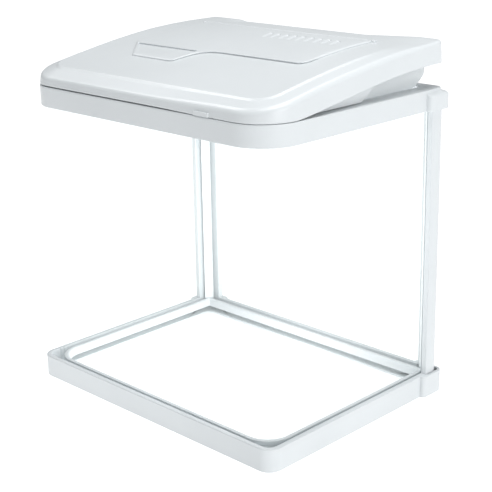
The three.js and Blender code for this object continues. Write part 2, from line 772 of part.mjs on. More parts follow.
// A frame set in the rear skirt, with a stub behind it on which the rocker turns.
function switchBezel() {
  const y = hoodBack;
  return join(
    block(switchX - 10, switchX + 10, y + fit, y + 1.8, rearFittingZ - 7, rearFittingZ + 7),
    block(switchX - 8, switchX + 8, y - 9, y + 1, rearFittingZ - 5, rearFittingZ + 5),
  ).subtract(block(switchX - 6.6, switchX + 6.6, y - 7.5, y + 3, rearFittingZ - 4, rearFittingZ + 4));
}

const rockerPivotY = hoodBack - 3;

function lampSwitch() {
  const y = rockerPivotY;
  const shape = new THREE.Shape();
  shape.moveTo(y - 2.6, rearFittingZ - 0.8);
  shape.lineTo(y + 3.6, rearFittingZ - 3.3);
  shape.lineTo(y + 3.1, rearFittingZ);
  shape.lineTo(y + 3.6, rearFittingZ + 3.3);
  shape.lineTo(y - 2.6, rearFittingZ + 0.8);
  shape.closePath();
  return drawAcross(shape, switchX - 6.1, switchX + 6.1);
}

function cableGland() {
  const y = hoodBack;
  return join(
    rod('y', y + fit, y + 2.2, glandX, rearFittingZ, 7, 24),
    rod('y', y - 6, y + 1, glandX, rearFittingZ, glandRadius, 24),
  ).subtract(rod('y', y - 7, y + 4, glandX, rearFittingZ, 2.6, 16));
}

// ---------------------------------------------------------------- assembly
const aquarium = new THREE.Group();
const add = (name, solid, material) => aquarium.add(toMesh(solid, name, material));

add('bottom_frame', bottomFrame(), plastic);
add('top_frame', topFrame(), plastic);
add('rear_post_left', rearPost(-1), plastic);
add('rear_post_right', rearPost(1), plastic);
add('bent_glass', bentGlass(), clearGlass);
add('back_glass', backGlass(), clearGlass);
add('floor_glass', floorGlass(), clearGlass);
add('inner_trim', innerTrim(), plastic);
add('floor_seal', floorSeal(), silicone);
add('corner_seal_left', cornerSeal(-1), silicone);
add('corner_seal_right', cornerSeal(1), silicone);

add('hood_shell', hoodShell(), plastic);
add('hood_pan', hoodPan(), innerPlastic);
add('access_cover', accessCover(), plastic);

add('lamp_lens', lampLens(), clearGlass);
add('led_board', ledBoard(), boardMaterial);
add('lamp_driver', lampDriver(), blackPlastic);

add('filter_tray', filterTray(), innerPlastic);
add('filter_sponge', trayPad(2.6, 14), spongeMaterial);
add('carbon_pad', trayPad(14.4, 22), carbonMaterial);
add('drip_plate', dripPlate(), innerPlastic);
add('spray_bar', sprayBar(), innerPlastic);
add('pump_body', pumpBody(), blackPlastic);
add('pump_cover', pumpCover(), blackPlastic);
add('pump_impeller', pumpImpeller(), blackPlastic);
add('pump_shaft', pumpShaft(), ceramic);
add('pump_intake', pumpIntake(), blackPlastic);

add('hood_hinge_pin_left', hingePin(hingeOffsets[0]), steel);
add('hood_hinge_pin_right', hingePin(hingeOffsets[1]), steel);
panScrews.forEach((place, i) => add(`pan_screw_${i + 1}`, panScrew(place), steel));
add('switch_bezel', switchBezel(), blackPlastic);
add('lamp_switch', lampSwitch(), blackPlastic);
add('cable_gland', cableGland(), blackPlastic);

export default aquarium;
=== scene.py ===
"""A small white aquarium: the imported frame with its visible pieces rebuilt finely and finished.

A piece's lengths are in millimetres until it becomes a Blender mesh. The camera, the lamps and the
materials are in metres.
"""

import json
import math

import bmesh
import bpy
import numpy as np
from mathutils import Matrix, Vector
from mathutils.geometry import delaunay_2d_cdt


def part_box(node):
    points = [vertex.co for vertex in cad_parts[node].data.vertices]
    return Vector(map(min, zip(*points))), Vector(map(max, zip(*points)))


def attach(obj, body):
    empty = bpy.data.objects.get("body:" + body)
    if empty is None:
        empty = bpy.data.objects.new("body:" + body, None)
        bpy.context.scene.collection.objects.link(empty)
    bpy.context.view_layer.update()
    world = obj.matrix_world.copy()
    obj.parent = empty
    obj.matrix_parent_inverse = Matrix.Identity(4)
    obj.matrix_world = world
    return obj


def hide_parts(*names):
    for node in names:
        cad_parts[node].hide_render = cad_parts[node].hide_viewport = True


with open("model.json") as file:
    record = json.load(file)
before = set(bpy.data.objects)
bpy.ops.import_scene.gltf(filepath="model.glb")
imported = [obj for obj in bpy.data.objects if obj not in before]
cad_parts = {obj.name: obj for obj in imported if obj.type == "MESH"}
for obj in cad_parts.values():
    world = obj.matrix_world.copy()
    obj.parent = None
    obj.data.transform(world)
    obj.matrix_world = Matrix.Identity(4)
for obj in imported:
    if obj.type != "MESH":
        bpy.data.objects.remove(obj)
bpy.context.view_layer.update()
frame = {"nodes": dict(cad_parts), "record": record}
nodes = frame["nodes"]
MM = 0.001


def node_box(name):
    """A CAD node's lowest and highest corners in millimetres."""
    low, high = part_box(name)
    return np.array(low) / MM, np.array(high) / MM


# ---- camera, floor and light
def add_camera():
    """The photograph's viewpoint: about 45 degrees round to the right and 17 degrees up."""
    azimuth, elevation, roll = (math.radians(a) for a in (44.689, 16.572, -1.013))
    back = Vector((
        math.sin(azimuth) * math.cos(elevation),
        -math.cos(azimuth) * math.cos(elevation),
        math.sin(elevation),
    ))
    level = Vector((0, 0, 1)).cross(back).normalized()
    upright = back.cross(level)
    right = level * math.cos(roll) + upright * math.sin(roll)
    up = upright * math.cos(roll) - level * math.sin(roll)
    data = bpy.data.cameras.new("camera")
    data.lens = 88.16
    data.sensor_width = 36
    data.shift_y = -0.061
    data.clip_start = 0.05
    data.clip_end = 200
    camera = bpy.data.objects.new("camera", data)
    rotation = Matrix((right, up, back)).transposed()
    camera.matrix_world = Matrix.Translation((0.9395, -0.9296, 0.5967)) @ rotation.to_4x4()
    bpy.context.scene.collection.objects.link(camera)
    bpy.context.scene.camera = camera


def add_sun(name, toward, strength, spread):
    """A far, wide lamp in the given direction: its light is even over the whole floor."""
    data = bpy.data.lights.new(name, "SUN")
    data.energy = strength
    data.angle = math.radians(spread)
    light = bpy.data.objects.new(name, data)
    light.rotation_euler = Vector(toward).to_track_quat("Z", "Y").to_euler()
    bpy.context.scene.collection.objects.link(light)


def add_overhead(place, size, power):
    """A soft square lamp over the hood, to the right of its middle."""
    data = bpy.data.lights.new("overhead", "AREA")
    data.energy = power
    data.size = size
    light = bpy.data.objects.new("overhead", data)
    light.location = place
    bpy.context.scene.collection.objects.link(light)


def add_tank_fill(place, power):
    """A small hidden lamp between the panes, which lifts the inner sides of the posts and frames."""
    data = bpy.data.lights.new("tank_fill", "POINT")
    data.energy = power
    data.shadow_soft_size = 0.06
    light = bpy.data.objects.new("tank_fill", data)
    light.location = place
    light.visible_camera = False
    light.visible_glossy = False
    bpy.context.scene.collection.objects.link(light)


def add_world(strength):
    """A dim even sky, which a view above the horizon sees as a white backdrop."""
    world = bpy.data.worlds.new("studio")
    world.use_nodes = True
    tree = world.node_tree
    background = tree.nodes["Background"]
    background.inputs["Color"].default_value = (0.97, 0.985, 1.0, 1)
    seen = tree.nodes.new("ShaderNodeLightPath")
    level = map_value(tree, seen.outputs["Is Camera Ray"], strength, 1.05, 0.0, 1.0)
    tree.links.new(level, background.inputs["Strength"])
    bpy.context.scene.world = world


def add_studio():
    add_world(0.32)
    add_sun("key", (0.90, -0.12, 0.22), 1.45, 40)
    add_sun("left_strip", (-0.674, 0.042, 0.737), 0.50, 16)
    add_sun("rear_strip", (-0.188, 0.475, 0.859), 0.36, 16)
    add_overhead((0.30, -0.04, 1.45), 0.7, 9.4)
    add_tank_fill((-0.01, 0.01, 0.19), 0.85)
    add_tank_fill((0.0, 0.0, 0.045), 0.4)
    scene = bpy.context.scene
    scene.view_settings.view_transform = "Standard"
    scene.view_settings.look = "None"


# ---- materials
def new_material(name):
    material = bpy.data.materials.new(name)
    material.use_nodes = True
    tree = material.node_tree
    shader = tree.nodes["Principled BSDF"]
    return material, tree, shader


def object_place(tree):
    """Object coordinates, which are fixed to the piece and measured in metres."""
    return tree.nodes.new("ShaderNodeTexCoord").outputs["Object"]


def add_noise(tree, scale, detail=3.0):
    noise = tree.nodes.new("ShaderNodeTexNoise")
    noise.inputs["Scale"].default_value = scale
    noise.inputs["Detail"].default_value = detail
    tree.links.new(object_place(tree), noise.inputs["Vector"])
    return noise.outputs["Fac"]


def ramp_color(tree, factor, low, high, start=0.3, end=0.7):
    ramp = tree.nodes.new("ShaderNodeValToRGB")
    ramp.color_ramp.elements[0].position = start
    ramp.color_ramp.elements[0].color = (*low, 1)
    ramp.color_ramp.elements[1].position = end
    ramp.color_ramp.elements[1].color = (*high, 1)
    tree.links.new(factor, ramp.inputs["Fac"])
    return ramp.outputs["Color"]


def map_value(tree, factor, low, high, start=0.3, end=0.7):
    remap = tree.nodes.new("ShaderNodeMapRange")
    remap.inputs["From Min"].default_value = start
    remap.inputs["From Max"].default_value = end
    remap.inputs["To Min"].default_value = low
    remap.inputs["To Max"].default_value = high
    tree.links.new(factor, remap.inputs["Value"])
    return remap.outputs["Result"]


def add_bump(tree, shader, height, strength, distance):
    bump = tree.nodes.new("ShaderNodeBump")
    bump.inputs["Strength"].default_value = strength
    bump.inputs["Distance"].default_value = distance
    tree.links.new(height, bump.inputs["Height"])
    tree.links.new(bump.outputs["Normal"], shader.inputs["Normal"])


def moulded_plastic(name, low, high, roughness):
    """Moulded plastic: slightly uneven tint and gloss under a fine satin grain."""
    grain_scale = 1800
    grain_depth = 0.00004
    grain_strength = 0.12
    material, tree, shader = new_material(name)
    cloud = add_noise(tree, 9)
    tree.links.new(ramp_color(tree, cloud, low, high), shader.inputs["Base Color"])
    smear = add_noise(tree, 60, detail=4)
    gloss = map_value(tree, smear, roughness - 0.02, roughness + 0.03)
    tree.links.new(gloss, shader.inputs["Roughness"])
    add_bump(tree, shader, add_noise(tree, grain_scale, detail=2), grain_strength, grain_depth)
    shader.inputs["IOR"].default_value = 1.49
    return material


def raised(tree, value, power):
    """A node socket's value to a power."""
    node = tree.nodes.new("ShaderNodeMath")
    node.operation = "POWER"
    node.inputs[1].default_value = power
    tree.links.new(value, node.inputs[0])
    return node.outputs["Value"]


def clear_glass(name, tint, edge_tint):
    """A clear flat pane: each face passes light straight on and mirrors more at a glancing angle."""
    mirrored_at_normal = 0.02
    mirrored_at_edge = 0.5
    edge_power = 8.0
    mirror_power = 5.0
    material, tree, shader = new_material(name)
    tree.nodes.remove(shader)
    film = add_noise(tree, 25, detail=4)
    faint = tuple(c * 0.993 for c in tint)
    through = tree.nodes.new("ShaderNodeBsdfTransparent")
    mirror = tree.nodes.new("ShaderNodeBsdfGlossy")
    mirror.inputs["Color"].default_value = (1, 1, 1, 1)
    tree.links.new(map_value(tree, film, 0.0, 0.02), mirror.inputs["Roughness"])
    facing = tree.nodes.new("ShaderNodeLayerWeight")
    facing.inputs["Blend"].default_value = 0.5
    tone = tree.nodes.new("ShaderNodeMixRGB")
    tree.links.new(raised(tree, facing.outputs["Facing"], edge_power), tone.inputs["Fac"])
    tree.links.new(ramp_color(tree, film, faint, tint), tone.inputs["Color1"])
    tone.inputs["Color2"].default_value = (*edge_tint, 1)
    tree.links.new(tone.outputs["Color"], through.inputs["Color"])
    glancing = raised(tree, facing.outputs["Facing"], mirror_power)
    share = map_value(tree, glancing, mirrored_at_normal, mirrored_at_edge, 0.0, 1.0)
    mix = tree.nodes.new("ShaderNodeMixShader")
    tree.links.new(share, mix.inputs["Fac"])
    tree.links.new(through.outputs["BSDF"], mix.inputs[1])
    tree.links.new(mirror.outputs["BSDF"], mix.inputs[2])
    tree.links.new(mix.outputs["Shader"], tree.nodes["Material Output"].inputs["Surface"])
    return material


def silicone(name):
    """Cloudy clear silicone, slightly uneven where a finger smoothed it."""
    material, tree, shader = new_material(name)
    cloud = add_noise(tree, 120)
    tone = ramp_color(tree, cloud, (0.78, 0.81, 0.82), (0.82, 0.85, 0.86))
    tree.links.new(tone, shader.inputs["Base Color"])
    tree.links.new(map_value(tree, cloud, 0.25, 0.38), shader.inputs["Roughness"])
    shader.inputs["IOR"].default_value = 1.41
    add_bump(tree, shader, add_noise(tree, 300), 0.2, 0.0002)
    return material


def brushed_steel(name):
    """Steel with fine scratches along X."""
    material, tree, shader = new_material(name)
    stretch = tree.nodes.new("ShaderNodeMapping")
    stretch.inputs["Scale"].default_value = (60, 2500, 2500)
    noise = tree.nodes.new("ShaderNodeTexNoise")
    noise.inputs["Scale"].default_value = 1.0
    tree.links.new(object_place(tree), stretch.inputs["Vector"])
    tree.links.new(stretch.outputs["Vector"], noise.inputs["Vector"])
    grey = ramp_color(tree, noise.outputs["Fac"], (0.50, 0.51, 0.53), (0.66, 0.67, 0.69))
    tree.links.new(grey, shader.inputs["Base Color"])
    tree.links.new(map_value(tree, noise.outputs["Fac"], 0.22, 0.36), shader.inputs["Roughness"])
    shader.inputs["Metallic"].default_value = 1.0
    return material


def open_foam(name, low, high, pore_scale):
    """Reticulated foam or a carbon bag: round pores sunk between pale struts, each pore darkened towards its
    middle with painted shade.
    """
    material, tree, shader = new_material(name)
    pores = tree.nodes.new("ShaderNodeTexVoronoi")
    pores.inputs["Scale"].default_value = pore_scale
    tree.links.new(object_place(tree), pores.inputs["Vector"])
    # painted shade: the colour darkens into each pore, where the foam lies in shade, and is pale on the
    # struts
    tone = ramp_color(tree, pores.outputs["Distance"], low, high, 0.15, 0.6)
    tree.links.new(tone, shader.inputs["Base Color"])
    shader.inputs["Roughness"].default_value = 0.95
    add_bump(tree, shader, pores.outputs["Distance"], 0.9, 0.001)
    return material


def lamp_plastic(name):
    """The lamp's frosted window: fine prisms across it spread the light, with painted highlight and shade
    running along them in its colour over a real bump.
    """
    material, tree, shader = new_material(name)
    prisms = tree.nodes.new("ShaderNodeTexWave")
    prisms.wave_type = "BANDS"
    prisms.bands_direction = "X"
    prisms.inputs["Scale"].default_value = 110
    tree.links.new(object_place(tree), prisms.inputs["Vector"])
    # painted highlight and shade: the window's colour runs lighter and darker with the prisms, as their faces
    # would catch and lose the light
    tone = ramp_color(tree, prisms.outputs["Fac"], (0.78, 0.80, 0.81), (0.90, 0.92, 0.93), 0, 1)
    tree.links.new(tone, shader.inputs["Base Color"])
    shader.inputs["Roughness"].default_value = 0.3
    shader.inputs["Transmission Weight"].default_value = 0.35
    add_bump(tree, shader, prisms.outputs["Fac"], 0.5, 0.0005)
    return material


def make_materials():
    return {
        "white_plastic": moulded_plastic("white_plastic", (0.635, 0.668, 0.685), (0.665, 0.698, 0.715), 0.32),
        # painted light: inner_plastic is set paler than white_plastic to lift the pan's walls, which lie in
        # shade under the hood's skirt
        "inner_plastic": moulded_plastic("inner_plastic", (0.70, 0.735, 0.75), (0.74, 0.775, 0.79), 0.45),
        "black_plastic": moulded_plastic("black_plastic", (0.018, 0.019, 0.021), (0.028, 0.03, 0.032), 0.42),
        "tank_glass": clear_glass("tank_glass", (0.992, 0.999, 0.997), (0.66, 0.71, 0.71)),
        "lens_plastic": lamp_plastic("lens_plastic"),
        "silicone": silicone("silicone"),
        "steel": brushed_steel("steel"),
        "led_board": moulded_plastic("led_board", (0.80, 0.80, 0.77), (0.85, 0.85, 0.82), 0.35),
        # the darker colour of each foam is painted shade in its pores, the paler one its struts
        "filter_sponge": open_foam("filter_sponge", (0.02, 0.05, 0.09), (0.12, 0.24, 0.36), 900),
        "carbon_pad": open_foam("carbon_pad", (0.005, 0.005, 0.005), (0.06, 0.06, 0.062), 500),
        "ceramic": moulded_plastic("ceramic", (0.80, 0.78, 0.72), (0.86, 0.84, 0.79), 0.25),
    }


# ---- mesh helpers
class Form:
    """Vertices in millimetres and faces, gathered from several closed forms."""

    def __init__(self):
        self.vertices = []
        self.faces = []

    def add(self, vertices, faces):
        start = len(self.vertices)
        self.vertices.extend(tuple(map(float, v)) for v in vertices)
        self.faces.extend(tuple(start + i for i in face) for face in faces)

    def loft(self, rings, wrap=False, caps=True):
        """Quads between rings of equal length. wrap joins the last ring to the first."""
        count = len(rings[0])
        total = len(rings)
        faces = []
        for k in range(total if wrap else total - 1):
            a = k * count
            b = ((k + 1) % total) * count
            for i in range(count):
                j = (i + 1) % count
                faces.append((a + i, a + j, b + j, b + i))
        if caps and not wrap:
            faces.append(tuple(reversed(range(count))))
            faces.append(tuple((total - 1) * count + i for i in range(count)))
        self.add(np.concatenate(rings), faces)

    def piece(self, name, slot, body, replaced, sharp=38):
        """Closes the form into a Blender object that rides on a body and stands for CAD nodes."""
        mesh = bpy.data.meshes.new(name)
        mesh.from_pydata([tuple(c * MM for c in v) for v in self.vertices], [], self.faces)
        work = bmesh.new()
        work.from_mesh(mesh)
        bmesh.ops.remove_doubles(work, verts=work.verts, dist=2e-6)
        bmesh.ops.dissolve_degenerate(work, edges=work.edges, dist=1e-6)
        bmesh.ops.recalc_face_normals(work, faces=work.faces)
        work.to_mesh(mesh)
        work.free()
        mesh.shade_smooth()
        mesh.set_sharp_from_angle(angle=math.radians(sharp))
        mesh.materials.append(materials[slot])
        piece = bpy.data.objects.new(name, mesh)
        bpy.context.scene.collection.objects.link(piece)
        even = piece.modifiers.new("even_normals", "WEIGHTED_NORMAL")
        even.keep_sharp = True
        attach(piece, body)
        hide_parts(*replaced)
        return piece


def ramp(value, start, end):
    """0 before the start and 1 past the end, rising evenly between them."""
    return np.clip((value - start) / (end - start), 0, 1)


def smooth_ramp(value, start, end):
    """The same rise, eased at both ends."""
    t = ramp(value, start, end)
    return t * t * (3 - 2 * t)


def arc(centre, radius, start, end, count):
    """Points on an arc between two angles in degrees."""
    return [(centre[0] + radius * math.cos(a), centre[1] + radius * math.sin(a))
            for a in np.radians(np.linspace(start, end, count))]


def at_height(outline, z):
    """An (X, Y) outline as a ring at height z, which may be one number or one for each point."""
    heights = np.broadcast_to(z, len(outline))
    return np.column_stack([outline, heights])


def stacked(rows):
    """Rings from rows of an outline, how far it is moved inwards, and its height."""
    return [at_height(inset(outline, distance) if distance else outline, z) for outline, distance, z in rows]


def inset(outline, distance):
    """A counter-clockwise outline moved inwards by a distance, or outwards if it is negative."""
    before = outline - np.roll(outline, 1, axis=0)
    after = np.roll(outline, -1, axis=0) - outline
    before /= np.linalg.norm(before, axis=1, keepdims=True)
    after /= np.linalg.norm(after, axis=1, keepdims=True)
    normal_a = np.column_stack([-before[:, 1], before[:, 0]])
    normal_b = np.column_stack([-after[:, 1], after[:, 0]])
    middle = normal_a + normal_b
    middle /= np.linalg.norm(middle, axis=1, keepdims=True)
    reach = 1 / np.maximum((middle * normal_a).sum(axis=1), 0.5)
    return outline + middle * (reach * distance)[:, None]


def rounded_polygon(corners, steps):
    """An outline through corners given as (x, y, radius), each turned on an arc."""
    points = []
    count = len(corners)
    for i, (x, y, radius) in enumerate(corners):
        here = np.array((x, y), float)
        if radius <= 0:
            points.append(here)
            continue
        back = np.array(corners[i - 1][:2], float) - here
        ahead = np.array(corners[(i + 1) % count][:2], float) - here
        back /= np.linalg.norm(back)
        ahead /= np.linalg.norm(ahead)
        half_angle = math.acos(np.clip(back @ ahead, -1, 1)) / 2
        bisector = (back + ahead) / np.linalg.norm(back + ahead)
        centre = here + bisector * radius / math.sin(half_angle)
        run = radius / math.tan(half_angle)
        start = here + back * run - centre
        end = here + ahead * run - centre
        first = math.atan2(start[1], start[0])
        turn = math.atan2(end[1], end[0]) - first
        turn = (turn + math.pi) % (2 * math.pi) - math.pi
        for k in range(steps + 1):
            angle = first + turn * k / steps
            points.append(centre + radius * np.array((math.cos(angle), math.sin(angle))))
    return np.array(points)


def divided(outline, longest):
    """The same closed outline with its long edges divided evenly."""
    points = []
    for a, b in zip(outline, np.roll(outline, -1, axis=0)):
        parts = max(1, math.ceil(np.linalg.norm(b - a) / longest))
        points.extend(a + (b - a) * k / parts for k in range(parts))
    return np.array(points)


def rounded_rectangle(half, y0, y1, front_radius, rear_radius, steps):
    """A rectangle about the middle line, given half its width, with its own radius in front and behind."""
    return rounded_polygon([
        (half, y0, front_radius),
        (half, y1, rear_radius),
        (-half, y1, rear_radius),
        (-half, y0, front_radius),
    ], steps)


def prism_rings(outline, z0, z1, bevel, steps=3):
    """Rings that raise an outline from z0 to z1 with both edges rounded."""
    angles = [math.pi / 2 * k / steps for k in range(steps + 1)]
    rise = [(bevel * (1 - math.sin(a)), bevel * (1 - math.cos(a))) for a in angles]
    lower = [at_height(inset(outline, d), z0 + h) for d, h in rise]
    upper = [at_height(inset(outline, d), z1 - h) for d, h in reversed(rise)]
    return lower + upper


def turned_rings(profile, centre, sides):
    """Rings for a shape turned on an axis along X, through a (y, z) centre: profile is (x, radius)."""
    angles = np.linspace(0, 2 * math.pi, sides, endpoint=False)
    return [
        np.column_stack([
            np.full(sides, float(x)),
            centre[0] + radius * np.cos(angles),
            centre[1] + radius * np.sin(angles),
        ])
        for x, radius in profile
    ]


def mirrored(outline):
    """An outline mirrored in X, still counter-clockwise."""
    return (outline * (-1, 1))[::-1]


def both_halves(right):
    """A whole outline from its right half, which starts and ends on the middle line."""
    right = np.array(right)
    return np.concatenate([right, mirrored(right[1:-1])])


# ---- sizes read from the frame
bottom_low, bottom_high = node_box("bottom_frame")
top_low, _ = node_box("top_frame")
_, shell_high = node_box("hood_shell")
glass_low, glass_high = node_box("bent_glass")
floor_low, floor_high = node_box("floor_glass")
back_low, back_high = node_box("back_glass")
post_low, post_high = node_box("rear_post_right")
cover_low, _ = node_box("access_cover")

FIT = 0.35  # gap between pieces that touch
GLASS = 4.0
GLASS_CORNER = 36.0  # outer radius of the bent pane
FRAME_WALL = 2.6
TOP_FRAME_INSET = 1.0  # the upper frame is this much smaller than the lower one
TOP_FRAME_HEIGHT = 24.0
TOP_CORNER = 45.0
BOTTOM_CORNER = 16.0
SOCKET_PROUD = 5.0  # how far the post sockets stand out of the frames
SOCKET_LENGTH = 38.0
SOCKET_EASE = 5.0
SOCKET_CORNER = 10.0
POCKET_CORNER = 6.0
POST_CORNER = 13.0
FLOOR_BEAD = 4.0
half_width = bottom_high[0] - SOCKET_PROUD
front = bottom_low[1]
back = bottom_high[1] - SOCKET_PROUD
bottom_height = bottom_high[2]
ledge_top = glass_low[2] - FIT
tank_height = top_low[2] + TOP_FRAME_HEIGHT
glass_half = glass_high[0]


# ---- tank frames
def frame_outline(half, y0, y1, front_radius, rear_radius, lump):
    """A frame's plan with a lump round each rear corner. Every outline has the same points in order."""
    proud, start_y, end_x, ease = lump
    right = [(x, y0) for x in np.linspace(0, half - front_radius, 12)[:-1]]
    right += arc((half - front_radius, y0 + front_radius), front_radius, -90, 0, 17)
    right += [(half, y) for y in np.linspace(y0 + front_radius, start_y, 26)[1:-1]]
    for a in np.linspace(-math.pi / 2, 0, 7):
        right.append((half + proud * math.cos(a), start_y + ease * (1 + math.sin(a))))
    right += arc((half + proud - rear_radius, y1 + proud - rear_radius), rear_radius, 0, 90, 13)
    for a in np.linspace(math.pi / 2, 0, 7)[::-1]:
        right.append((end_x + ease * (1 - math.sin(a)), y1 + proud * math.cos(a)))
    right += [(x, y1) for x in np.linspace(end_x, 0, 14)[1:]]
    return both_halves(right)


def socket_lump(proud):
    """The lump of a post's socket: how proud it is, where it starts on the side and ends on the rear."""
    reach = SOCKET_LENGTH - SOCKET_PROUD
    return proud, back - reach, half_width - reach, SOCKET_EASE


def post_pocket(half):
    """The lump of a frame's inner outline that clears a post by the fitting gap."""
    return post_high[0] + FIT - half, post_low[1] - FIT, post_low[0] - FIT, 0.6


def build_bottom_frame():
    """A tray frame: an outer wall, a broad rim in to the glass, and a thin ledge that is hollow below."""
    rim = half_width - glass_half - FIT
    ledge = 18.0
    outer = frame_outline(half_width, front, back, BOTTOM_CORNER, SOCKET_CORNER, socket_lump(SOCKET_PROUD))
    inner = frame_outline(half_width - rim, front + rim, back - rim, BOTTOM_CORNER - rim, POCKET_CORNER,
                          post_pocket(half_width - rim))
    window = frame_outline(half_width - ledge, front + ledge, back - ledge, 6.0, 14.0,
                           (0.0, back - ledge - 40, half_width - ledge - 40, SOCKET_EASE))
    form = Form()
    form.loft(stacked([
        (outer, 1.0, 0),
        (outer, 0.3, 0.3),
        (outer, 0, 1.0),
        (outer, 0, bottom_height - 1.2),
        (outer, 0.12, bottom_height - 0.7),
        (outer, 0.4, bottom_height - 0.28),
        (outer, 0.9, bottom_height),
        (inner, -0.4, bottom_height),
        (inner, -0.1, bottom_height - 0.15),
        (inner, 0, bottom_height - 0.5),
        (inner, 0, ledge_top),
        (window, -0.6, ledge_top),
        (window, -0.2, ledge_top - 0.2),
        (window, 0, ledge_top - 0.6),
        (window, 0, ledge_top - 2.2),
        (window, -0.3, ledge_top - 2.5),
        (outer, 3.4, ledge_top - 2.9),
        (outer, 3.0, ledge_top - 3.3),
        (outer, 2.6, 0),
    ]), wrap=True)
    form.piece("bottom_frame_moulding", "white_plastic", "tank", ["bottom_frame"])


def build_top_frame():
    """A moulding with rounded edges, a sloping top on each socket and a lip round its opening."""
    half = half_width - TOP_FRAME_INSET
    y0 = front + TOP_FRAME_INSET
    y1 = back - TOP_FRAME_INSET
    low = top_low[2] + 1.0
    flange = 3.0
    lip = 2.4
    lip_height = 12.0

    def outer(proud):
        return frame_outline(half, y0, y1, TOP_CORNER, SOCKET_CORNER, socket_lump(proud))

    def cavity(pocket):
        return frame_outline(half - FRAME_WALL, y0 + FRAME_WALL, y1 - FRAME_WALL, TOP_CORNER - FRAME_WALL,
                             POCKET_CORNER, pocket)

    full = SOCKET_PROUD + TOP_FRAME_INSET
    pocket = post_pocket(half - FRAME_WALL)
    pocket_top = post_high[2] + 0.1
    inner = cavity(pocket)
    upper = cavity((0.0, *pocket[1:]))
    opening = frame_outline(half - 20, y0 + 20, y1 - 15, 22.0, 10.0, (0.0, y1 - 60, half - 60, SOCKET_EASE))
    form = Form()
    form.loft(stacked([
        (outer(full), 0.8, low),
        (outer(full), 0.2, low + 0.25),
        (outer(full), 0, low + 0.8),
        (outer(full), 0, tank_height - 7.5),
        (outer(full - 0.35), 0, tank_height - 6.3),
        (outer(full - 1.5), 0, tank_height - 5.0),
        (outer(full - 4.2), 0, tank_height - 3.9),
        (outer(0.35), 0, tank_height - 3.0),
        (outer(0.0), 0, tank_height - 2.4),
        (outer(0.0), 0, tank_height - 1.3),
        (outer(0.0), 0.13, tank_height - 0.75),
        (outer(0.0), 0.45, tank_height - 0.3),
        (outer(0.0), 1.0, tank_height),
        (opening, -0.8, tank_height),
        (opening, -0.2, tank_height - 0.25),
        (opening, 0, tank_height - 0.8),
        (opening, 0, tank_height - lip_height),
        (opening, -lip, tank_height - lip_height),
        (opening, -lip, tank_height - flange),
        (upper, 0, tank_height - flange),
        (upper, 0, pocket_top),
        (inner, 0, pocket_top),
        (inner, 0, low + 0.4),
        (inner, -0.4, low),
    ]), wrap=True)
    for x, y, z in hinge_places():
        for side in (-1, 1):
            middle = x + side * 8
            add_hinge_eye(form, (middle - 2.5, middle + 2.5), (y, z), tank_height - 1 - z, (-6.0, 4.0))
    form.piece("top_frame_moulding", "white_plastic", "tank", ["top_frame"])


def hinge_places():
    """The middle of each hinge pin, in millimetres."""
    places = []
    for name in ("hood_hinge_pin_left", "hood_hinge_pin_right"):
        low, high = node_box(name)
        places.append((low + high) / 2)
    return places


def add_hinge_eye(form, ends, centre, stem_end, stem_sides):
    """A round eye bored for the pin, on a stem that runs up or down from it along Z."""
    x0, x1 = ends
    y, z = centre
    radius = 6.0
    bore = 2.4
    bevel = 0.5
    angles = np.linspace(0, 2 * math.pi, 72, endpoint=False)
    reach = []
    for a in angles:
        direction = (math.cos(a), math.sin(a))
        far = radius
        if direction[1] * stem_end > 0:
            limits = [stem_end / direction[1]]
            side = stem_sides[1] if direction[0] > 0 else stem_sides[0]
            if abs(direction[0]) > 1e-6:
                limits.append(side / direction[0])
            far = max(far, min(limits))
        reach.append(far)
    reach = np.array(reach)
    plan = np.column_stack([np.cos(angles), np.sin(angles)])

    def ring(x, distance):
        flat = plan * np.reshape(distance, (-1, 1))
        return np.column_stack([np.full(len(flat), x), y + flat[:, 0], z + flat[:, 1]])

    hole = np.full(len(angles), bore)
    form.loft([
        ring(x0, reach - bevel), ring(x0 + bevel, reach), ring(x1 - bevel, reach), ring(x1, reach - bevel),
        ring(x1, hole + 0.3), ring(x1 - 0.3, hole), ring(x0 + 0.3, hole), ring(x0, hole + 0.3),
    ], wrap=True)


def build_posts():
    """Each rear post is an angle that wraps the corner of the glass."""
    leg = post_high[0] - post_low[0]
    inner_x = glass_half + FIT
    inner_y = back_high[1] + FIT
    outer_x = post_high[0]
    outer_y = post_high[1]
    plan = rounded_polygon([
        (inner_x, outer_y - leg, 0.8),
        (outer_x, outer_y - leg, 0.9),
        (outer_x, outer_y, POST_CORNER),
        (outer_x - leg, outer_y, 0.9),
        (outer_x - leg, inner_y, 0.8),
        (inner_x, inner_y, 0.4),
    ], 8)
    for side, name in ((1, "right"), (-1, "left")):
        form = Form()
        outline = plan if side > 0 else mirrored(plan)
        form.loft(prism_rings(outline, post_low[2], post_high[2], 0.3))
        form.piece(f"post_{name}", "white_plastic", "tank", [f"rear_post_{name}"])


# ---- glass and its silicone
def let_light_through(pane):
    """Clear panes take no part in shadows or in bounced light."""
    pane.visible_shadow = False
    pane.visible_diffuse = False


def wall_face(inward):
    """The U-shaped run of the bent pane's face, from its left end round the front to its right end."""
    past_end = 60
    half = glass_half - inward
    end_y = glass_high[1]
    plan = rounded_rectangle(half, glass_low[1] + inward, end_y + past_end, GLASS_CORNER - inward, 1, 28)
    points = [tuple(p) for p in plan if p[1] < end_y]
    left = sorted((p for p in points if p[0] < 0), key=lambda p: (-p[1], p[0]))
    right = sorted((p for p in points if p[0] > 0), key=lambda p: (p[1], p[0]))
    return np.array([(-half, end_y), *left, *right, (half, end_y)])


def build_pane(name, node, plan):
    """A pane of the given plan, as high as its CAD node."""
    low, high = node_box(node)
    form = Form()
    form.loft(prism_rings(plan, low[2], high[2], 0.4, 2))
    let_light_through(form.piece(name, "tank_glass", "tank", [node]))


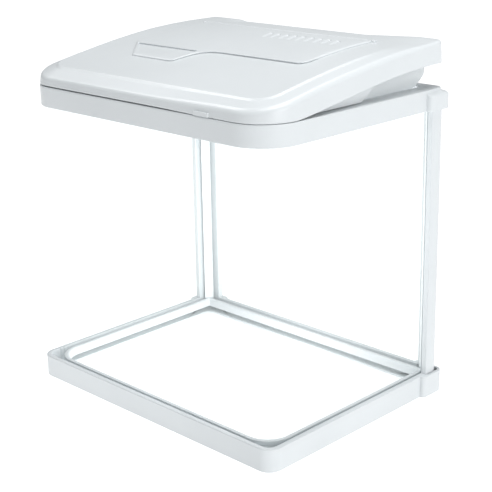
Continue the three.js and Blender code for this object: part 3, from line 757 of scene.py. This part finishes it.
def build_glass():
    wall = np.concatenate([wall_face(0), wall_face(GLASS)[::-1]])
    build_pane("bent_pane", "bent_glass", wall)
    rear = rounded_rectangle(back_high[0], back_low[1], back_high[1], 0.4, 0.4, 2)
    build_pane("back_pane", "back_glass", rear)
    floor = rounded_rectangle(floor_high[0], floor_low[1], floor_high[1], GLASS_CORNER - GLASS, 1, 24)
    build_pane("floor_pane", "floor_glass", floor)


def strip_rings(low, high, profile):
    """Rings for a strip on the floor pane inside the glass: profile is (distance in, height up)."""
    corner = GLASS_CORNER - GLASS
    rings = []
    for d, h in profile:
        plan = rounded_rectangle(high[0] - d, low[1] + d, high[1] - d, corner - d, 1.0, 20)
        rings.append(at_height(plan, low[2] + h))
    return rings


def build_trim():
    """The white trim inside the glass: a rounded top, a slightly sloping face and a rebate for the bead."""
    low, high = node_box("inner_trim")
    width = 7.0
    rebate = FLOOR_BEAD + FIT
    height = high[2] - low[2]
    profile = [
        (rebate, 0), (width - 0.3, 0), (width, 0.3), (width - 1.2, height - 2.2),
        (width - 1.6, height - 1.0), (width - 2.4, height - 0.3), (width - 3.4, height),
        (1.0, height), (0.3, height - 0.3), (0, height - 1.0), (0, rebate), (rebate, rebate),
    ]
    form = Form()
    form.loft(strip_rings(low, high, profile), wrap=True)
    form.piece("inner_trim_strip", "white_plastic", "tank", ["inner_trim"])


def build_seals():
    """A bead round the floor pane, and one with a hollow face in each rear corner."""
    bead = FLOOR_BEAD
    profile = [(0, 0), (bead, 0), (bead - 1.6, 0.5), (1.6, 1.6), (0.5, bead - 1.4), (0, bead)]
    form = Form()
    form.loft(strip_rings(*node_box("floor_seal"), profile), wrap=True)
    form.piece("floor_bead", "silicone", "tank", ["floor_seal"])
    for side, name in ((1, "right"), (-1, "left")):
        low, high = node_box(f"corner_seal_{name}")
        width = high[0] - low[0]
        hollow = arc((-width, -width), width, 90, 0, 9)
        outline = np.array([(0.0, -width), (0.0, 0.0), (-width, 0.0)] + hollow[1:-1])
        corner = (high[0], high[1])
        if side < 0:
            outline = mirrored(outline)
            corner = (low[0], high[1])
        form = Form()
        form.loft([at_height(outline + corner, low[2]), at_height(outline + corner, high[2])])
        form.piece(f"corner_bead_{name}", "silicone", "tank", [f"corner_seal_{name}"])


# ---- hood curves
HOOD_CORNER = 44.0
HOOD_REAR_CORNER = 14.0
CROWN = 4.0  # the plateau's height above the rim
PLATEAU_INSET = 22.0
STEP_RUN = 3.2  # the plateau's step is this wide ...
STEP_SHARE = 0.34  # ... and makes this much of the crown, the rim's slope the rest
REAR_LIFT = 0.95  # how far the rim has risen to the plateau's level at the rear
LEFT_DROP = 1.6  # the rim lies this much lower round the hood's left
DRAFT = 1.0  # the hood's sides lean in by this much from foot to top
EDGE_RADIUS = 6.5
REAR_EDGE_RADIUS = 3.6
SHELL = 2.4
FOOT_ROUND = 0.9  # the rounding of the skirt's lower edge
LIP_INSET = 9.5  # an inner lip closes the hood's front and sides behind the skirt
COVER_STEP = 2.0
COVER_GAP = 0.35
COVER_OPENING = (118.0, -16.0, 83.0)  # half its width, its front and its back
hood_half = shell_high[0]
hood_front = front + 1.5
hood_back = shell_high[1]


def quarter_sine(t):
    """A rise from 0 to 1 that grows flatter."""
    return np.sin(math.pi / 2 * t)


def rim_height(y):
    """The rim's height from the front edge back: a slope that grows flatter."""
    front_height = 11.8
    rise = 32.5
    return tank_height + front_height + rise * quarter_sine(ramp(y, front, front + 250))


def skirt_height(x, y):
    """The hood's lower edge: a seam along the front that narrows towards the right, and a rising wedge."""
    seam = 1.2 - 0.8 * smooth_ramp(x, 20, 110)
    wedge = 25.5 * quarter_sine(ramp(y, front + 45, front + 275)) ** 1.25
    return tank_height + seam + wedge


def rear_dip(x, y):
    """The rear edge lies a little lower between the hinges, and its right corner rises the most."""
    dip = 1.8
    right_rise = 4.0 * ramp(x, 80, 155)
    left_rise = 1.8 * smooth_ramp(-x, 108, 120)
    return (dip - right_rise - left_rise) * smooth_ramp(y, 100, 136)


def plateau_height(x, y):
    """The raised middle of the hood's top, which the cover lies on."""
    return rim_height(y) + CROWN - rear_dip(x, y)


def leftness(x):
    """1 at the hood's left and 0 at its right."""
    return 1 - smooth_ramp(x, 20, 130)


def edge_distance(x, y):
    """How far a point lies in from the hood's front and sides, following its rounded corners."""
    over_x = np.abs(x) - (hood_half - HOOD_CORNER)
    over_y = hood_front + HOOD_CORNER - y
    straight = np.minimum(hood_half - np.abs(x), y - hood_front)
    turned = HOOD_CORNER - np.hypot(over_x, over_y)
    return np.where((over_x > 0) & (over_y > 0), turned, straight)


def hood_height(x, y):
    """The hood's top: a sloping rim, a small crisp step up to the plateau, and broad rear shoulders."""
    inward = edge_distance(x, y)
    rim_slope = ramp(inward, 5, 19)
    step_slope = ramp(inward, PLATEAU_INSET - STEP_RUN, PLATEAU_INSET)
    crisp = (1 - STEP_SHARE) * rim_slope + STEP_SHARE * step_slope
    broad = smooth_ramp(inward, 3, 27)
    step = crisp + (broad - crisp) * smooth_ramp(y, 20, 80)
    left = leftness(x)
    lift = REAR_LIFT * smooth_ramp(y, -10, 110) * (1 - 0.7 * left)
    below = CROWN * (1 - lift) + LEFT_DROP * left
    return plateau_height(x, y) - below * (1 - step)


def hood_outline(half, y0, y1, front_radius, rear_radius):
    """The hood's plan. Every outline has the same points in order, close together near the rear corners."""
    dense_run = 13.5
    edge = half - rear_radius
    right = [(x, y0) for x in np.linspace(0, half - front_radius, 16)[:-1]]
    right += arc((half - front_radius, y0 + front_radius), front_radius, -90, 0, 21)
    right += [(half, y) for y in np.linspace(y0 + front_radius, y1 - rear_radius, 48)[1:-1]]
    right += arc((edge, y1 - rear_radius), rear_radius, 0, 90, 11)
    right += [(x, y1) for x in np.linspace(edge, edge - dense_run, 10)[1:]]
    right += [(x, y1) for x in np.linspace(edge - dense_run, 0, 26)[1:]]
    return both_halves(right)


def inset_hood(distance):
    """The hood's plan moved inwards."""
    return hood_outline(
        hood_half - distance, hood_front + distance, hood_back - distance,
        HOOD_CORNER - distance, max(HOOD_REAR_CORNER - distance, 2.0),
    )


def between(outer, inner, share):
    """Part of the way from one outline to another. The share may be one number or one for each point."""
    return outer + (inner - outer) * np.reshape(np.broadcast_to(share, len(outer)), (-1, 1))


def top_ring(outline, drop=0.0):
    """An outline as a ring on the hood's top, or below it by a drop."""
    return at_height(outline, hood_height(*outline.T) - drop)


def hanging_lip(distance):
    """A ring on the inner lip, which hangs down to the frame in front and fades out towards the hinges."""
    plan = inset_hood(distance)
    under = hood_height(*plan.T) - SHELL - 0.4
    hang = 1 - smooth_ramp(plan[:, 1], 5, 60)
    return at_height(plan, under + (tank_height + 0.9 - under) * hang)


def skirt_rings(radius):
    """The outside of the hood from its foot over its rounded edge, whose radius changes along it."""
    plan = inset_hood(0)
    wall_top = inset_hood(DRAFT)
    edge_inside = inset_hood(DRAFT + EDGE_RADIUS)
    low = skirt_height(*plan.T) + FOOT_ROUND
    high = hood_height(*wall_top.T) - radius
    rings = [
        at_height(inset_hood(FOOT_ROUND), low - FOOT_ROUND),
        at_height(inset_hood(FOOT_ROUND * 0.3), low - FOOT_ROUND * 0.7),
    ]
    for share in (0, 0.35, 0.7):
        rings.append(at_height(between(plan, wall_top, share), low + (high - low) * share))
    for a in np.linspace(0, math.pi / 2, 12):
        ring = between(wall_top, edge_inside, (1 - math.cos(a)) * radius / EDGE_RADIUS)
        rings.append(top_ring(ring, radius * (1 - math.sin(a))))
    return rings


def top_rings(shoulder):
    """From the shoulder over the step and in to the cover's opening, then back out below the plateau."""
    step_foot = PLATEAU_INSET - 3.5
    step_head = PLATEAU_INSET + 4.0
    foot = hood_outline(hood_half - step_foot, hood_front + step_foot, hood_back - EDGE_RADIUS - 1.0,
                        HOOD_CORNER - step_foot, 9.0)
    plateau = hood_outline(hood_half - step_head, hood_front + step_head, hood_back - EDGE_RADIUS - 3.0,
                           HOOD_CORNER - step_head, 6.0)
    opening = hood_outline(*COVER_OPENING, 4.0, 4.0)
    rings = [top_ring(between(shoulder, foot, share)) for share in (0.3, 0.6, 0.85)]
    rings += [top_ring(between(foot, plateau, share)) for share in np.linspace(0, 1, 23)]
    rings += [top_ring(between(plateau, opening, share)) for share in np.linspace(0, 1, 14)[1:]]
    rings += [top_ring(between(plateau, opening, share), SHELL) for share in np.linspace(1, 0, 8)]
    rings.append(top_ring(foot, SHELL))
    return rings


def inner_rings():
    """The underside from the inner lip out to the skirt's inner face and down to its foot."""
    wall_foot = inset_hood(SHELL)
    return [
        top_ring(inset_hood(LIP_INSET + 1.6), SHELL),
        hanging_lip(LIP_INSET + 1.4),
        hanging_lip(LIP_INSET),
        top_ring(inset_hood(LIP_INSET - 0.2), SHELL),
        top_ring(inset_hood(SHELL + DRAFT + 4.0), SHELL + 0.8),
        top_ring(inset_hood(SHELL + DRAFT + 1.5), SHELL + 2.2),
        top_ring(inset_hood(SHELL + DRAFT), SHELL + 4.5),
        at_height(wall_foot, skirt_height(*wall_foot.T) + FOOT_ROUND * 0.4),
        at_height(inset_hood(SHELL - FOOT_ROUND * 0.4), skirt_height(*wall_foot.T)),
    ]


def build_hood():
    """The hood's moulding: its edge is rounded less towards the rear and the left."""
    plan = inset_hood(0)
    tight = np.maximum(smooth_ramp(plan[:, 1], 60, 130), 0.6 * leftness(plan[:, 0]))
    radius = EDGE_RADIUS - (EDGE_RADIUS - REAR_EDGE_RADIUS) * tight
    shoulder = between(inset_hood(DRAFT), inset_hood(DRAFT + EDGE_RADIUS), radius / EDGE_RADIUS)
    form = Form()
    form.loft(skirt_rings(radius) + top_rings(shoulder) + inner_rings(), wrap=True)
    for x, y, z in hinge_places():
        add_hinge_eye(form, (x - 5, x + 5), (y, z), plateau_height(x, y) - 1.5 - z, (-6.0, 5.0))
    add_cover_ears(form)
    add_lift_tab(form)
    form.piece("hood_moulding", "white_plastic", "hood", ["hood_shell"], sharp=50)


def add_lift_tab(form):
    """The finger tab under the front edge, right of the middle."""
    half_length = 10.5
    middle = 101.5
    outline = rounded_rectangle(half_length, -1.4, 1.6, 0.8, 0.3, 4) + (middle, hood_front + 0.6)
    form.loft(prism_rings(outline, tank_height + 0.4, tank_height + 5.0, 0.3))


def axle_centre():
    """The (y, z) of the line on which the cover's stubs turn."""
    return COVER_BACK, float(plateau_height(0, COVER_BACK)) + 1.2


def add_cover_ears(form):
    """A small ear on the plateau at each end of the cover's axle."""
    inner_face = -cover_low[0] - STUB + 0.3
    outer_face = inner_face + 3.5
    y, z = axle_centre()
    for side in (-1, 1):
        x0, x1 = sorted((side * inner_face, side * outer_face))
        rings = []
        for x, d in ((x0, 0.4), (x0 + 0.4, 0), (x1 - 0.4, 0), (x1, 0.4)):
            arch = [(y + (2.4 - d) * math.cos(a), z - 0.4 + (1.5 - d) * math.sin(a))
                    for a in np.linspace(0, math.pi, 13)]
            outline = [(y + 3.4 - d, z - 2.2), *arch, (y - 3.4 + d, z - 2.2)]
            rings.append(np.array([(x, *point) for point in outline]))
        form.loft(rings)


# ---- access cover
COVER_HALF = 129.0
COVER_FRONT = front + 120.0
COVER_BACK = front + 232.0
SCOOP_FRONT = front + 78.0
SCOOP_LEFT = -90.0
SCOOP_RIGHT = -22.0
VENT_COUNT = 9
VENT_FIRST_X = 3.0
VENT_PITCH = 12.4
VENT_WIDTH = 6.0
VENT_LENGTH = 23.0
VENT_GAP = 1.6  # the open slit at the foot of each vent's sloping blade
STUB = 3.2  # how far the axle's stubs stand out of the cover


def bezier(points, count):
    """A curve through the first and last of its control points, in even steps of its parameter."""
    t = np.linspace(0, 1, count + 1)[:, None]
    points = [np.array(p, float) for p in points]
    while len(points) > 1:
        points = [a + (b - a) * t for a, b in zip(points, points[1:])]
    return points[0]


def cover_outline():
    """The cover's plan: a straight front edge that curves forward on the left round the finger scoop."""
    corner = 11.0
    cut = 1.5
    left = rounded_polygon([
        (-COVER_HALF, COVER_BACK, 0), (-COVER_HALF, COVER_FRONT, 9.0), (SCOOP_LEFT, SCOOP_FRONT + 1, 7.0),
        (SCOOP_RIGHT - 10, SCOOP_FRONT, 0),
    ], 8)
    turn = bezier([(SCOOP_RIGHT - 10, SCOOP_FRONT), (SCOOP_RIGHT, SCOOP_FRONT),
                   (SCOOP_RIGHT, SCOOP_FRONT + 10)], 6)
    sweep = bezier([(SCOOP_RIGHT, SCOOP_FRONT + 10), (SCOOP_RIGHT + 4, SCOOP_FRONT + 30),
                    (-14, COVER_FRONT), (14, COVER_FRONT)], 14)
    outline = [
        *arc((COVER_HALF - corner, COVER_FRONT + corner), corner, -90, 0, 10),
        (COVER_HALF, COVER_BACK - cut), (COVER_HALF - cut, COVER_BACK),
        (-COVER_HALF + cut, COVER_BACK), (-COVER_HALF, COVER_BACK - cut),
        *left[1:-1], *turn[:-1], *sweep,
    ]
    return divided(np.array(outline), 5.0)


def scoop_outline():
    """The finger scoop's plan, inside the cover's forward curve."""
    return divided(rounded_polygon([
        (SCOOP_LEFT + 4, SCOOP_FRONT + 6, 4.0),
        (SCOOP_RIGHT - 6, SCOOP_FRONT + 6, 8.0),
        (SCOOP_RIGHT + 2, COVER_FRONT - 6, 1.0),
        (-COVER_HALF + 10, COVER_FRONT - 6, 1.0),
    ], 6), 4.0)


def vent_outline(index, width, aside=0.0):
    """One slanted vent in plan, given its width and how far it lies aside from the vent's middle."""
    middle_y = front + 201
    lean = math.radians(18)
    turn = np.array(((math.cos(lean), math.sin(lean)), (-math.sin(lean), math.cos(lean))))
    half = width / 2
    reach = VENT_LENGTH / 2 - 0.5 * (VENT_WIDTH - width) / 2
    corner = min(2.4, half * 0.9)
    slot = rounded_polygon([(aside + half, -reach, corner), (aside + half, reach, corner),
                            (aside - half, reach, corner), (aside - half, -reach, corner)], 4)
    return slot @ turn + (VENT_FIRST_X + index * VENT_PITCH, middle_y)


def inside(points, outline):
    """Which points lie inside a closed outline, by counting crossings."""
    x, y = points[:, 0], points[:, 1]
    hits = np.zeros(len(points), bool)
    for (xa, ya), (xb, yb) in zip(outline, np.roll(outline, -1, axis=0)):
        crosses = (ya > y) != (yb > y)
        with np.errstate(divide="ignore", invalid="ignore"):
            hits ^= crosses & (x < (xb - xa) * (y - ya) / (yb - ya) + xa)
    return hits


def sheet(outline, holes, height, spacing=6.0):
    """A triangulated sheet inside an outline, without its holes, that follows a height function."""
    loops = [outline, *holes]
    points = []
    edges = []
    for loop in loops:
        start = len(points)
        points += [Vector(p) for p in loop]
        edges += [(start + i, start + (i + 1) % len(loop)) for i in range(len(loop))]
    low = outline.min(axis=0)
    high = outline.max(axis=0)
    grid = np.array([(x, y) for x in np.arange(low[0] + spacing / 2, high[0], spacing)
                     for y in np.arange(low[1] + spacing / 2, high[1], spacing)])
    keep = inside(grid, inset(outline, spacing * 0.4))
    for hole in holes:
        keep &= ~inside(grid, inset(hole, -spacing * 0.3))
    points += [Vector(p) for p in grid[keep]]
    found, _, faces, _, _, _ = delaunay_2d_cdt(points, edges, [], 0, 1e-6)
    found = np.array([tuple(p) for p in found])
    centres = np.array([found[list(f)].mean(axis=0) for f in faces])
    solid = inside(centres, outline)
    for hole in holes:
        solid &= ~inside(centres, hole)
    vertices = np.column_stack([found, height(found[:, 0], found[:, 1])])
    return vertices, [tuple(f) for f, wanted in zip(faces, solid) if wanted]


def lip_opening(x, y):
    """Where the cover's lip stands clear of the hood: from the scoop's right to the far right corner."""
    from_scoop = smooth_ramp(x, SCOOP_LEFT + 45, SCOOP_LEFT + 75)
    front_half = 1 - smooth_ramp(y, COVER_FRONT + 10, COVER_FRONT + 30)
    return from_scoop * front_half


def cover_seat(x, y):
    """The cover is level from side to side, on the height of the plateau's middle."""
    return plateau_height(0 * x, y)


def cover_top(x, y):
    return cover_seat(x, y) + COVER_STEP


def cover_underside(x, y):
    return cover_seat(x, y) + 0.08 + (COVER_GAP - 0.13) * lip_opening(x, y)


def below_top(plan, drop):
    """A plan as a ring below the cover's top."""
    return at_height(plan, cover_top(*plan.T) - drop)


def above_underside(plan, rise):
    """A plan as a ring above the cover's underside."""
    return at_height(plan, cover_underside(*plan.T) + rise)


def build_cover():
    """The cover: its edge is broadly rounded, and narrower along its open lip."""
    outline = cover_outline()
    opening = lip_opening(*outline.T)
    edge_width = 3.2 - 2.3 * opening
    edge_drop = 1.75 - 0.85 * opening
    scoop = scoop_outline()
    vents = [vent_outline(i, VENT_WIDTH) for i in range(VENT_COUNT)]
    slit_aside = (VENT_WIDTH - VENT_GAP) / 2 - 0.3
    slits = [vent_outline(i, VENT_GAP, slit_aside) for i in range(VENT_COUNT)]
    under_outline = inset(outline, 0.1 + 0.3 * opening)
    form = Form()
    form.add(*sheet(inset(outline, edge_width), [scoop, *vents], cover_top))
    form.add(*sheet(under_outline, slits, cover_underside))
    side = []
    for a in np.linspace(math.pi / 2, 0, 6):
        ring = inset(outline, edge_width * (1 - math.cos(a)))
        side.append(below_top(ring, edge_drop * (1 - math.sin(a))))
    side.append(above_underside(outline, 0.1 + 0.4 * opening))
    side.append(above_underside(under_outline, 0))
    form.loft(side, caps=False)
    for vent, slit in zip(vents, slits):
        form.loft([below_top(vent, 0), below_top(inset(vent, 0.15), 0.1),
                   above_underside(slit, 0.25), above_underside(slit, 0)], caps=False)
    scoop_floor = inset(scoop, -0.25)
    form.loft([below_top(scoop, 0), below_top(inset(scoop, 0.05), 0.12),
               at_height(scoop_floor, scoop_level(*scoop_floor.T))], caps=False)
    form.add(*sheet(scoop_floor, [], scoop_level, 4.0))
    add_cover_rib(form)
    add_cover_axle(form)
    form.piece("cover_moulding", "white_plastic", "access_cover", ["access_cover"], sharp=50)


def scoop_level(x, y):
    """The scoop's floor ramps down from its front edge to its deepest near the straight rear edge."""
    first = SCOOP_FRONT + 6
    length = (COVER_FRONT - SCOOP_FRONT - 12) / 1.1
    return cover_top(x, y) - 0.15 - 1.3 * smooth_ramp(y, first, first + length)


def add_cover_rib(form):
    """The rib under the cover that stands just inside the hood's opening."""
    half, y0, y1 = COVER_OPENING
    gap = 0.6
    depth = 5.0
    outer = divided(rounded_rectangle(half - gap, y0 + gap, y1 - gap, 3, 3, 4), 8)
    inner = inset(outer, 1.8)
    form.loft([
        at_height(plan, cover_seat(*plan.T) + rise) for plan, rise in (
            (outer, 0.5), (outer, 0.3 - depth), (inset(outer, 0.3), -depth),
            (inset(inner, -0.3), -depth), (inner, 0.3 - depth), (inner, 0.5),
        )
    ], wrap=True)


def add_cover_axle(form):
    """The cover's rounded rear edge, with a stub at each end that turns in an ear."""
    half = COVER_HALF
    tip = half + STUB
    right = [(half, 0.82), (half + 0.2, 0.8), (tip - 0.2, 0.8), (tip, 0.5)]
    left = [(-x, radius) for x, radius in reversed(right)]
    form.loft(turned_rings(left + right, axle_centre(), 24))


# ---- small fittings
def build_pins():
    for name in ("left", "right"):
        node = f"hood_hinge_pin_{name}"
        low, high = node_box(node)
        centre = ((low[1] + high[1]) / 2, (low[2] + high[2]) / 2)
        radius = (high[2] - low[2]) / 2
        profile = [
            (low[0], radius - 0.5), (low[0] + 0.15, radius - 0.15), (low[0] + 0.5, radius),
            (high[0] - 0.5, radius), (high[0] - 0.15, radius - 0.15), (high[0], radius - 0.5),
        ]
        form = Form()
        form.loft(turned_rings(profile, centre, 40))
        form.piece(f"hinge_pin_{name}", "steel", "tank", [node])


def dress_nodes():
    """Every CAD node that still shows gets its finished material."""
    finishes = {s["node"]: s["material_slot"] for s in frame["record"]["subparts"]}
    for name, node in nodes.items():
        node.data.materials.clear()
        node.data.materials.append(materials[finishes[name]])


def add_floor():
    """A glowing sheet, brightest in front of the tank, so that the frame's foot is lit from below."""
    bpy.ops.mesh.primitive_circle_add(vertices=96, radius=30, fill_type="NGON", location=(0, 0, 0))
    floor = bpy.context.object
    floor.name = "studio_floor"
    material, tree, shader = new_material("studio_floor")
    cloud = add_noise(tree, 3)
    tone = ramp_color(tree, cloud, (0.36, 0.362, 0.365), (0.38, 0.382, 0.384))
    tree.links.new(tone, shader.inputs["Base Color"])
    shader.inputs["Roughness"].default_value = 0.9
    shader.inputs["Specular IOR Level"].default_value = 0.1
    brightest = (-0.10, -0.34, 0)
    away = tree.nodes.new("ShaderNodeVectorMath")
    away.operation = "LENGTH"
    from_front = tree.nodes.new("ShaderNodeVectorMath")
    from_front.operation = "SUBTRACT"
    from_front.inputs[1].default_value = brightest
    tree.links.new(object_place(tree), from_front.inputs[0])
    tree.links.new(from_front.outputs["Vector"], away.inputs[0])
    glow = map_value(tree, away.outputs["Value"], 1.35, 0.92, 0.12, 0.40)
    shader.inputs["Emission Color"].default_value = (1, 1, 1, 1)
    tree.links.new(glow, shader.inputs["Emission Strength"])
    floor.data.materials.append(material)


add_camera()
add_studio()
materials = make_materials()
dress_nodes()
build_bottom_frame()
build_top_frame()
build_posts()
build_glass()
build_trim()
build_seals()
build_hood()
build_cover()
build_pins()
add_floor()
